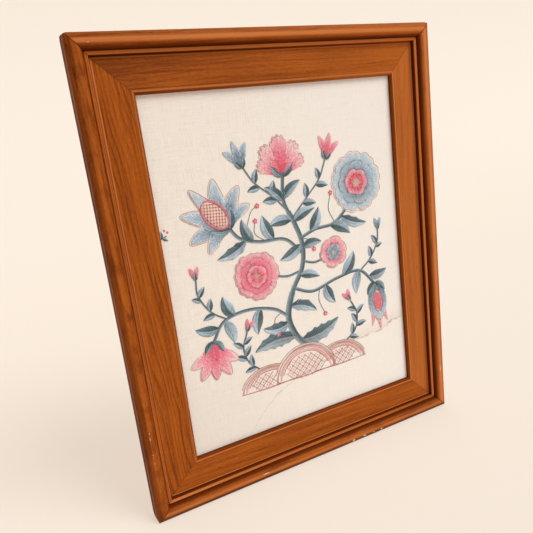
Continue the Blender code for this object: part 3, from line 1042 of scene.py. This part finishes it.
def sprig(path, leaves, tone=0.3, breadth=1.7):
    # a thin stem with leaves: each is a share along the stem, a side, a length and a width
    stemRows("teal", path, breadth, (tone, tone + 0.3), 0.7)
    curve = smoothPath(path)
    arc = arcOf(curve)
    for share, side, length, width in leaves:
        at = share * arc[-1]
        behind, base, ahead = (placeAt(at + step, arc, curve) for step in (-2.0, 0.0, 2.0))
        heading = math.degrees(math.atan2(*(ahead - behind)[::-1]))
        tip = base + polar(heading + side * dice.uniform(40.0, 58.0), length)
        fillLeaf(base, tip, -side * length * 0.12, width, light=("blue", 0.3, 0.7))


def mound(centre, halfWidth, height, tone):
    # a low hill in open line work: a rope of slanted stitches, a pale band, and tied threads inside
    foot = -125.0
    share = np.linspace(-1.0, 1.0, 90)

    def crown(scale, shift=0.0):
        arch = (1.0 - np.abs(share) ** 2.2) ** 0.62
        return np.stack([centre + (share + shift) * halfWidth * scale, foot + arch * height * scale], 1)

    clearInside(crown(1.03))
    satinBand("rust", crown(0.90, -0.015), crown(0.985, 0.015), (tone, 0.9, tone, 0.9, tone), 1.9)
    satinBand("coral", crown(0.785), crown(0.85), (0.9, 0.7, 0.95, 0.7, 0.9), 1.15)
    for scale, shade in ((1.02, 0.2), (0.875, 0.5), (0.76, 0.3)):
        stemRows("rust", crown(scale)[2:-2], 0.5, (shade,), width=0.66)
    middle = np.array([centre, foot + 0.30 * height])
    trellis(middle, np.array([0.66 * halfWidth, 0.42 * height]), 0.0, 5.4, ("rust", 0.4), ("coral", 0.3),
            seed=("coral", 0.4))
    ends = [(centre - halfWidth, foot), (centre, foot - 1.2), (centre + halfWidth, foot)]
    stemRows("rust", ends, 0.5, (0.3,))


print("stitches planned")

deep = ("teal", 0.06, 0.42)
slate = ("teal", 0.6, 1.0)
dusty = ("blue", 0.3, 0.85)

trunk = [(4.0, -93.0), (-8.0, -78.0), (-14.0, -56.0), (-6.0, -31.0), (8.0, -8.0), (11.0, 16.0), (4.0, 40.0),
         (-5.0, 62.0), (-3.0, 87.0)]
stemRows("teal", trunk, 6.8, (0.1, 0.25, 0.45, 0.7, 0.95), 0.45)
stemRows("blue", [(x + 3.6 - 0.2 * i, y) for i, (x, y) in enumerate(trunk)], 0.5, (0.9,), width=0.8)

branches = [
    ([(-14.0, -56.0), (-30.0, -44.0), (-58.0, -38.0), (-84.0, -43.0), (-97.0, -60.0)], 3.6, 0.6),
    ([(-4.0, -28.0), (18.0, -36.0), (48.0, -29.0), (78.0, -27.0), (97.0, -46.0)], 3.6, 0.6),
    ([(10.0, 6.0), (-8.0, 24.0), (-36.0, 27.0), (-56.0, 34.0), (-66.0, 46.0)], 3.4, 0.6),
    ([(9.0, 22.0), (28.0, 28.0), (50.0, 30.0), (66.0, 42.0), (78.0, 58.0)], 3.4, 0.6),
    ([(4.0, -12.0), (-10.0, -14.0), (-26.0, -10.0)], 2.6, 0.8),
    ([(10.0, -2.0), (24.0, -6.0), (40.0, -2.0)], 2.4, 0.8),
]
for path, breadth, taper in branches:
    stemRows("teal", path, breadth, (0.15, 0.5, 0.9), taper)

sprigs = [
    ([(0.0, 50.0), (-16.0, 68.0), (-34.0, 84.0), (-44.0, 100.0)],
     [(0.26, 1, 16.0, 8.0), (0.36, -1, 16.0, 8.0), (0.60, 1, 14.0, 7.0), (0.70, -1, 14.0, 7.0)], 0.3, 1.8),
    ([(3.0, 44.0), (22.0, 62.0), (38.0, 78.0), (47.0, 96.0)],
     [(0.26, -1, 16.0, 8.0), (0.36, 1, 15.0, 7.5), (0.60, -1, 15.0, 7.0), (0.70, 1, 12.0, 6.5)], 0.3, 1.8),
    ([(-52.0, -104.0), (-64.0, -92.0), (-68.0, -76.0), (-62.0, -60.0)],
     [(0.12, 1, 13.0, 6.0), (0.20, -1, 13.0, 6.0), (0.40, 1, 14.0, 6.5), (0.48, -1, 13.0, 6.5),
      (0.66, 1, 13.0, 6.0), (0.74, -1, 12.0, 6.0)], 0.1, 1.7),
    ([(52.0, -102.0), (66.0, -92.0), (70.0, -74.0), (63.0, -58.0)],
     [(0.12, -1, 13.0, 6.0), (0.20, 1, 13.0, 6.0), (0.40, -1, 14.0, 6.5), (0.48, 1, 13.0, 6.5),
      (0.66, -1, 13.0, 6.0), (0.74, 1, 12.0, 6.0)], 0.1, 1.7),
    ([(-80.0, -42.0), (-96.0, -30.0), (-106.0, -12.0), (-106.0, 4.0)],
     [(0.25, 1, 13.0, 6.5), (0.36, -1, 13.0, 6.5), (0.60, 1, 10.0, 5.5), (0.68, -1, 12.0, 6.0)], 0.2, 1.6),
    ([(80.0, -27.0), (94.0, -16.0), (104.0, 0.0), (106.0, 14.0)],
     [(0.25, -1, 13.0, 6.5), (0.36, 1, 13.0, 6.5), (0.60, -1, 10.0, 5.5), (0.68, 1, 12.0, 6.0)], 0.2, 1.6),
    ([(-137.0, 44.0), (-131.0, 48.0), (-126.0, 50.0)], [(0.5, 1, 7.0, 3.6), (0.6, -1, 6.0, 3.2)], 0.1, 1.2),
]
for path, pairs, tone, breadth in sprigs:
    sprig(path, pairs, tone, breadth)
frenchKnots("coral", [(-125.0, 53.0), (-127.5, 55.0)], 0.1, 2.0)

leaves = [
    ((-8.0, -80.0), (-56.0, -84.0), -9.0, 19.0, deep, slate, ("rust", 0.7), 5),
    ((-2.0, -85.0), (46.0, -72.0), -10.0, 19.0, slate, deep, ("rust", 0.7), 5),
    ((-14.0, -62.0), (-44.0, -62.0), 8.0, 15.0, deep, dusty, None, 3),
    ((-10.0, -46.0), (20.0, -58.0), 7.0, 14.0, dusty, deep, None, 3),
    ((-44.0, -40.0), (-50.0, -66.0), -5.0, 12.5, dusty, deep),
    ((-72.0, -40.0), (-82.0, -18.0), 5.0, 12.5, dusty, deep),
    ((-90.0, -48.0), (-114.0, -44.0), 5.0, 11.0, deep, slate),
    ((-84.0, -43.0), (-76.0, -68.0), 5.0, 11.5, slate, dusty),
    ((34.0, -33.0), (44.0, -55.0), -5.0, 12.5, dusty, deep),
    ((56.0, -28.0), (72.0, -4.0), -5.0, 13.0, deep, dusty),
    ((90.0, -36.0), (114.0, -32.0), -5.0, 11.0, slate, deep),
    ((78.0, -27.0), (72.0, -52.0), -5.0, 11.5, dusty, slate),
    ((-20.0, 27.0), (-30.0, 52.0), 5.0, 13.0, deep, dusty),
    ((-50.0, 31.0), (-82.0, 18.0), 6.0, 13.5, deep, dusty, None, 3),
    ((-42.0, 28.0), (-52.0, 52.0), 5.0, 11.0, slate, deep),
    ((22.0, 27.0), (34.0, 50.0), -5.0, 12.5, dusty, deep),
    ((46.0, 29.0), (70.0, 16.0), 6.0, 12.5, deep, slate),
    ((60.0, 36.0), (92.0, 24.0), -6.0, 13.0, dusty, deep, None, 3),
    ((9.0, 16.0), (-16.0, 4.0), 5.0, 11.5, deep, dusty),
    ((11.0, 12.0), (34.0, 14.0), 4.0, 10.0, slate, deep),
    ((2.0, 42.0), (-24.0, 40.0), -5.0, 11.0, dusty, deep),
    ((4.0, 40.0), (30.0, 50.0), 5.0, 11.0, deep, dusty),
    ((-5.0, 62.0), (-24.0, 78.0), -4.0, 10.0, deep, slate),
    ((-5.0, 64.0), (16.0, 80.0), 4.0, 10.0, slate, deep),
    ((4.0, -16.0), (28.0, -22.0), 4.0, 9.5, deep, dusty),
]
for leaf in leaves:
    fillLeaf(*leaf)

mound(-44.0, 33.0, 23.0, 0.35)
mound(43.0, 34.0, 25.0, 0.45)
mound(0.0, 38.0, 34.0, 0.25)

# upper right: a round flower of three blue rings
rosette((82.0, 68.0), [
    {"count": 9, "reach": (9.0, 31.0), "phase": 10.0, "fat": 1.0, "drop": 0.24, "notch": 0.09,
     "family": "blue", "tones": (0.0, 0.3, 0.6, 0.85, 1.0), "lift": 0.0, "line": ("rust", 0.8, 1.3)},
    {"count": 7, "reach": (5.0, 22.5), "phase": 30.0, "fat": 1.0, "drop": 0.28, "family": "blue",
     "tones": (0.0, 0.15, 0.45, 0.8), "lift": 0.5},
    {"count": 6, "reach": (3.0, 14.0), "phase": 54.0, "fat": 1.0, "drop": 0.30, "family": "coral",
     "tones": (0.0, 0.4, 0.85), "lift": 1.0},
], {"disc": ("cream", 0.5, 4.2), "lift": 1.5, "halo": ("rust", 0.1, 3.8, 8.5, 14)})

# left of the trunk: a full coral rosette
rosette((-44.0, -6.0), [
    {"count": 8, "reach": (7.0, 24.0), "phase": 0.0, "fat": 1.03, "drop": 0.24, "notch": 0.09,
     "family": "coral", "tones": (0.05, 0.35, 0.65, 0.85), "lift": 0.2, "line": ("rust", 0.6, 0.9)},
    {"count": 6, "reach": (4.0, 17.5), "phase": 22.0, "fat": 1.0, "drop": 0.28, "family": "coral",
     "tones": (0.0, 0.2, 0.6), "lift": 0.6},
    {"count": 5, "reach": (2.4, 11.5), "phase": 40.0, "fat": 1.0, "drop": 0.30, "family": "coral",
     "tones": (0.0, 0.45, 0.95), "lift": 1.0},
], {"disc": ("cream", 0.2, 3.0), "lift": 1.4, "halo": ("rust", 0.0, 2.6, 5.5, 10)})

# right of the trunk: a small open flower
rosette((47.0, 0.0), [
    {"count": 6, "reach": (4.0, 16.0), "phase": 15.0, "fat": 1.0, "drop": 0.30, "family": "coral",
     "tones": (0.2, 0.6, 1.0), "lift": 0.2, "line": ("rust", 0.7, 0.8)},
    {"count": 6, "reach": (2.0, 9.0), "phase": 45.0, "fat": 0.9, "drop": 0.4, "family": "blue",
     "tones": (0.2, 0.75), "lift": 0.6},
], {"disc": ("cream", 0.4, 2.6), "lift": 1.1})

# top: a toothed fan; each petal's row is its turn, reach, bend, breadth, lift and tones
fan = {"family": "coral", "foot": 4.0, "edge": petalEdge(0.16, 2.0, 0.0, 4, 0.09), "line": ("rust", 0.8, 0.8)}
fanFlower((-3.0, 88.0), 92.0, fan, bothSides([
    (64.0, 29.0, -3.0, 16.0, 0.1, (0.0, 0.3, 0.7, 0.95)),
    (33.0, 35.0, -1.0, 18.0, 0.35, (0.1, 0.45, 0.8, 1.0)),
    (0.0, 38.0, 0.0, 20.0, 0.6, (0.0, 0.2, 0.55, 0.9)),
]), bothSides([(50.0, 17.0, 2.0, 8.0), (0.0, 16.0, 0.0, 10.0)]))

# bells at the ends of the two upper sprigs
for foot, facing, family in (((-45.0, 101.0), 106.0, "blue"), ((48.0, 98.0), 72.0, "coral")):
    bell = {"family": family, "foot": 3.5, "edge": petalEdge(0.5, 1.5)}
    fanFlower(foot, facing, bell, bothSides([
        (34.0, 23.0, -2.5, 10.0, 0.1, (0.0, 0.4, 0.9)),
        (0.0, 25.0, 0.0, 10.0, 0.4, (0.0, 0.4, 0.9)),
    ]), bothSides([(36.0, 9.0, 1.0, 5.0)]))

# upper left: a long-petalled cup round an oval of laid and tied threads
cup = {"family": "blue", "foot": 4.0, "edge": petalEdge(0.42, 1.4), "line": ("rust", 0.85, 1.2),
       "place": (-66.0, 46.0), "facing": 130.0, "oval": np.array([15.5, 9.5])}
fanFlower(cup["place"], cup["facing"], cup, bothSides([
    (92.0, 30.0, -6.0, 13.0, 0.0, (0.0, 0.3, 0.6, 0.9)),
    (62.0, 40.0, -7.0, 16.0, 0.15, (0.0, 0.2, 0.5, 0.85)),
    (28.0, 48.0, -5.0, 18.0, 0.3, (0.0, 0.25, 0.6, 1.0)),
    (0.0, 52.0, 0.0, 14.0, 0.45, (0.1, 0.4, 0.75, 1.0)),
]), bothSides([(48.0, 20.0, 3.0, 9.0)]))
middle = np.array(cup["place"]) + polar(cup["facing"], 19.0)
clearInside(ovalPath(middle, cup["oval"], cup["facing"]))
laidOval("cream", middle, cup["oval"], cup["facing"], (0.4, 0.9, 0.6), 0.75)
trellis(middle, cup["oval"], cup["facing"], 2.9, ("coral", 0.3), ("rust", 0.2), 1.15)
stemRows("coral", ovalPath(middle, cup["oval"], cup["facing"], 0.6), 1.7, (0.1, 0.5), lift=0.95)

# lower left: a hanging cup in coral and pale pink
bowl = {"family": "coral", "foot": 6.0, "edge": petalEdge(0.42, 1.6), "line": ("rust", 0.8, 0.9)}
fanFlower((-97.5, -62.0), -94.0, bowl, bothSides([
    (50.0, 32.0, -6.0, 13.0, 0.0, (0.0, 0.3, 0.7, 0.95)),
    (24.0, 38.0, -3.0, 14.0, 0.25, (0.2, 0.55, 0.9)),
    (0.0, 37.0, 0.0, 15.0, 0.6, (0.0, 0.35, 0.8)),
]), bothSides([(44.0, 14.0, 2.5, 7.5), (0.0, 13.0, 0.0, 8.0)]))

# lower right: a seed pod, a blue shell that opens on coral knots
pod = {"place": (97.5, -47.0), "facing": -86.0, "oval": np.array([12.0, 6.5])}
lining = {"family": "coral", "foot": 5.0, "edge": petalEdge(0.5, 1.4)}
fanFlower(pod["place"], pod["facing"], lining, bothSides([
    (13.0, 49.0, -2.0, 10.0, 0.0, (0.1, 0.3, 0.9)),
    (0.0, 54.0, 0.0, 12.0, 0.1, (0.0, 0.3, 0.9)),
]))
shell = {"family": "blue", "foot": 11.0, "edge": petalEdge(0.25, 2.0), "line": ("rust", 0.8, 1.0)}
fanFlower(pod["place"], pod["facing"], shell, bothSides([
    (-4.0, 42.0, 15.0, 12.0, 0.3, (0.0, 0.3, 0.65, 0.95)),
]))
middle = np.array(pod["place"]) + polar(pod["facing"], 20.0)
clearInside(ovalPath(middle, pod["oval"], pod["facing"]))
laidOval("cream", middle, pod["oval"], pod["facing"], (0.7, 0.9), 0.5)
stemRows("rust", ovalPath(middle, pod["oval"], pod["facing"], 0.5), 0.8, (0.3,), lift=0.7)
frenchKnots("coral", scatter(middle, 10.5, 1.25, 0.5, pod["facing"]), 0.3, 1.8, 1.0)
fanFlower(pod["place"], pod["facing"], {}, (), bothSides([(50.0, 15.0, 3.0, 8.0)]))

# small buds and berries
for foot, facing, family in (((-61.5, -58.0), 62.0, "coral"), ((62.0, -56.0), 118.0, "coral"),
                             ((-106.0, 5.0), 92.0, "coral"), ((106.0, 15.0), 88.0, "blue")):
    bud = {"family": family, "foot": 3.0, "edge": petalEdge(0.5, 1.6)}
    fanFlower(foot, facing, bud, [
        (20.0, 12.0, 0.0, 6.0, 0.1, (0.1, 0.7)),
        (-20.0, 12.0, 0.0, 6.0, 0.1, (0.1, 0.9)),
    ], [(0.0, 7.0, 0.0, 5.0)])
for path in ([(-52.0, 32.0), (-42.0, 56.0), (-34.0, 62.0)], [(52.0, 31.0), (46.0, 46.0), (50.0, 62.0)],
             [(-20.0, -49.0), (-30.0, -56.0), (-28.0, -72.0)], [(26.0, -35.0), (24.0, -48.0), (30.0, -64.0)],
             [(10.0, 22.0), (20.0, 18.0), (24.0, 8.0)], [(-30.0, 27.0), (-40.0, 36.0), (-38.0, 48.0)]):
    stemRows("teal", path, 0.9, (0.3,), width=0.8)
    around = polar(np.array([20.0, 92.0, 164.0, 236.0, 308.0]), 1.7)
    frenchKnots("coral", np.array(path[-1]) + around, 0.2, 2.1)
    frenchKnots("cream", [path[-1]], 0.3, 1.6, 0.3)


def strandMesh(name, rows, material):
    # six-sided strands: two ends sink into the cloth, the middle lies on it and bows sideways
    start, end = rows[:, None, None, 0:2], rows[:, None, None, 2:4]
    tone, width, lift, bow = (rows[:, None, None, i] for i in range(4, 8))
    sideways = across2d(end - start)
    length = np.linalg.norm(end - start, axis=-1)
    s, girth, rise = (np.array(wool[key])[None, :, None] for key in ("stations", "girth", "rise"))
    count, rings, sides = len(rows), len(wool["stations"]), wool["sides"]
    angle = ((np.arange(sides) + 0.5) / sides * tau)[None, None, :]
    thick = wool["thickness"] * (0.55 + 0.45 * width)
    offset = 0.5 * wool["width"] * width * girth * np.cos(angle) + bow * 4.0 * s * (1.0 - s)
    place = start + (end - start) * s[..., None] + sideways * offset[..., None]
    height = lift * (0.7 + 0.3 * np.maximum(rise, 0.0)) + 0.40 * thick * rise
    height = height + 0.5 * thick * girth * np.sin(angle)
    x, z = place[..., 0] * mm, place[..., 1] * mm
    points = np.stack([x, linenLow.y + clothSag(x, z) - height * mm, linenCentreZ + z], -1)
    quads, caps = tubeFaces(rings, sides)
    shift = (np.arange(count) * rings * sides)[:, None, None]
    corners = np.concatenate([(quads[None] + shift).ravel(), (caps[None] + shift).ravel()])
    starts = np.concatenate([np.arange(count * len(quads)) * 4,
                             count * len(quads) * 4 + np.arange(count * 2) * sides])
    shape = (count, rings, sides)
    ply = np.stack([np.broadcast_to(s * length * mm, shape), np.broadcast_to(np.cos(angle), shape),
                    np.broadcast_to(np.sin(angle), shape)], -1)
    values = {"tone": np.broadcast_to(tone, shape).ravel(), "ply": ply.reshape(-1, 3)}
    piece = meshOf(name, points.reshape(-1, 3), corners, starts, material, values)
    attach(piece, "root")


def woolMaterial(family):
    fixed = {"Specular IOR Level": wool["specular"], "Sheen Weight": wool["sheen"]}
    material, start, shader = newMaterial(f"{family}_wool", fixed)
    tone = start.node("ShaderNodeAttribute", {"attribute_name": "tone"}, None, "Fac")
    ply = start.node("ShaderNodeAttribute", {"attribute_name": "ply"}, None, "Vector")
    along, level, up = ply.parts()
    place = start.node("ShaderNodeTexCoord", None, None, "Object")
    fuzz = stretchedNoise(place, wool["fuzz"], 2.0, 0.6)
    phase = along * (tau / wool["plyTwist"])
    twist = phase.maths("SINE") * level + phase.maths("COSINE") * up
    ramp = start.node("ShaderNodeValToRGB", {"stops": woolTones[family]}, {0: tone + (fuzz - 0.5) * 0.10})
    # painted shade: the strand darker towards its underside and in its twist's grooves
    low = (0.5 - up * 0.5).clamped() * 0.45 + (0.5 - twist * 0.5) * 0.12
    plug(ramp.mixed(low, ramp.mixed(1.0, wool["undersideShade"], "MULTIPLY")), shader, "Base Color")
    plug(0.80 + fuzz * 0.15, shader, "Roughness")
    plug(bumped(twist * 0.7 + fuzz * 0.6, 0.5, 0.10 * mm), shader, "Normal")
    return material


for family, laid in strands.items():
    rows = np.concatenate(laid)
    rows = rows[np.argsort(0.5 * (rows[:, 0] + rows[:, 2]))]
    parts = math.ceil(len(rows) / wool["perPiece"])
    shared = woolMaterial(family)
    for number, share in enumerate(np.array_split(rows, parts)):
        strandMesh(f"{family}_stitches_{number + 1}", share, shared)
    print("stitched", family, len(rows))


# camera, light and floor

view = {
    "lens": 36.0 * 527.69 / 533.0,
    "place": (-0.2453, -0.4601, 0.34464),
    "right": (0.88877, -0.44289, -0.12055),
    "up": (0.2106, 0.15937, 0.96509),
    "back": (-0.40792, -0.8822, 0.23421),
}


def placeCamera():
    camera = bpy.data.objects.new("camera", bpy.data.cameras.new("camera"))
    bpy.context.scene.collection.objects.link(camera)
    camera.data.sensor_width = 36.0
    camera.data.lens = view["lens"]
    camera.data.clip_start = 0.01
    axes = Matrix((view["right"], view["up"], view["back"])).transposed().to_4x4()
    axes.translation = view["place"]
    camera.matrix_world = axes
    bpy.context.scene.camera = camera


sweep = {
    "front": -1.6, "bend": 1.1, "radius": 1.3, "top": 3.2, "halfWidth": 7.0, "steps": 12, "bendSteps": 20,
    "paper": {"Base Color": colour(158, 149, 141), "Emission Color": colour(250, 234, 217),
              "Emission Strength": 0.615, "Roughness": 0.9},
}


def floorSweep():
    # a flat floor that turns up into a wall on a quarter circle
    flat = np.linspace(sweep["front"], sweep["bend"], sweep["steps"])
    angle = np.linspace(0.0, 0.25 * tau, sweep["bendSteps"])[1:]
    radius, wall = sweep["radius"], sweep["bend"] + sweep["radius"]
    depth = np.concatenate([flat, sweep["bend"] + radius * np.sin(angle), [wall]])
    rise = np.concatenate([0.0 * flat, radius * (1.0 - np.cos(angle)), [sweep["top"]]])
    across = np.linspace(-sweep["halfWidth"], sweep["halfWidth"], 3)[:, None]
    points = np.stack(np.broadcast_arrays(across, depth, rise), -1)
    quads = gridFaces(np.arange(3 * len(depth)).reshape(3, -1))
    material, _, _ = newMaterial("floor_paper", sweep["paper"])
    floor = meshOf("floor", points.reshape(-1, 3), quads.ravel(), np.arange(len(quads)) * 4, material)


studio = {
    "key": ((0.44, -0.60, 0.74), 2.25, 34.0, (0.84, 0.96, 1.0)),
    "sky": (1.0, 0.95, 0.90, 1.0), "evenLight": 0.38, "sideLight": 0.20,
}


def skyLamp(name, towards, power, spread, tint):
    # a far lamp of even strength; spread in degrees is how wide it looks, and so how soft its shadow is
    lamp = bpy.data.lights.new(name, "SUN")
    lamp.energy = power
    lamp.angle = math.radians(spread)
    lamp.color = tint
    holder = bpy.data.objects.new(name, lamp)
    holder.rotation_euler = Vector(towards).to_track_quat("Z", "Y").to_euler()
    bpy.context.scene.collection.objects.link(holder)


placeCamera()
floorSweep()
skyLamp("key", *studio["key"])
world = bpy.data.worlds.new("studio")
world.use_nodes = True
sky = Wire(world.node_tree)
side = sky.node("ShaderNodeTexCoord", None, None, "Generated").parts()[0]
background = world.node_tree.nodes["Background"]
background.inputs["Color"].default_value = studio["sky"]
plug(side.step(-1.0, 0.8) * studio["sideLight"] + studio["evenLight"], background, "Strength")
bpy.context.scene.world = world
bpy.context.scene.view_settings.view_transform = "Standard"
bpy.context.scene.view_settings.look = "None"
print("stage set")
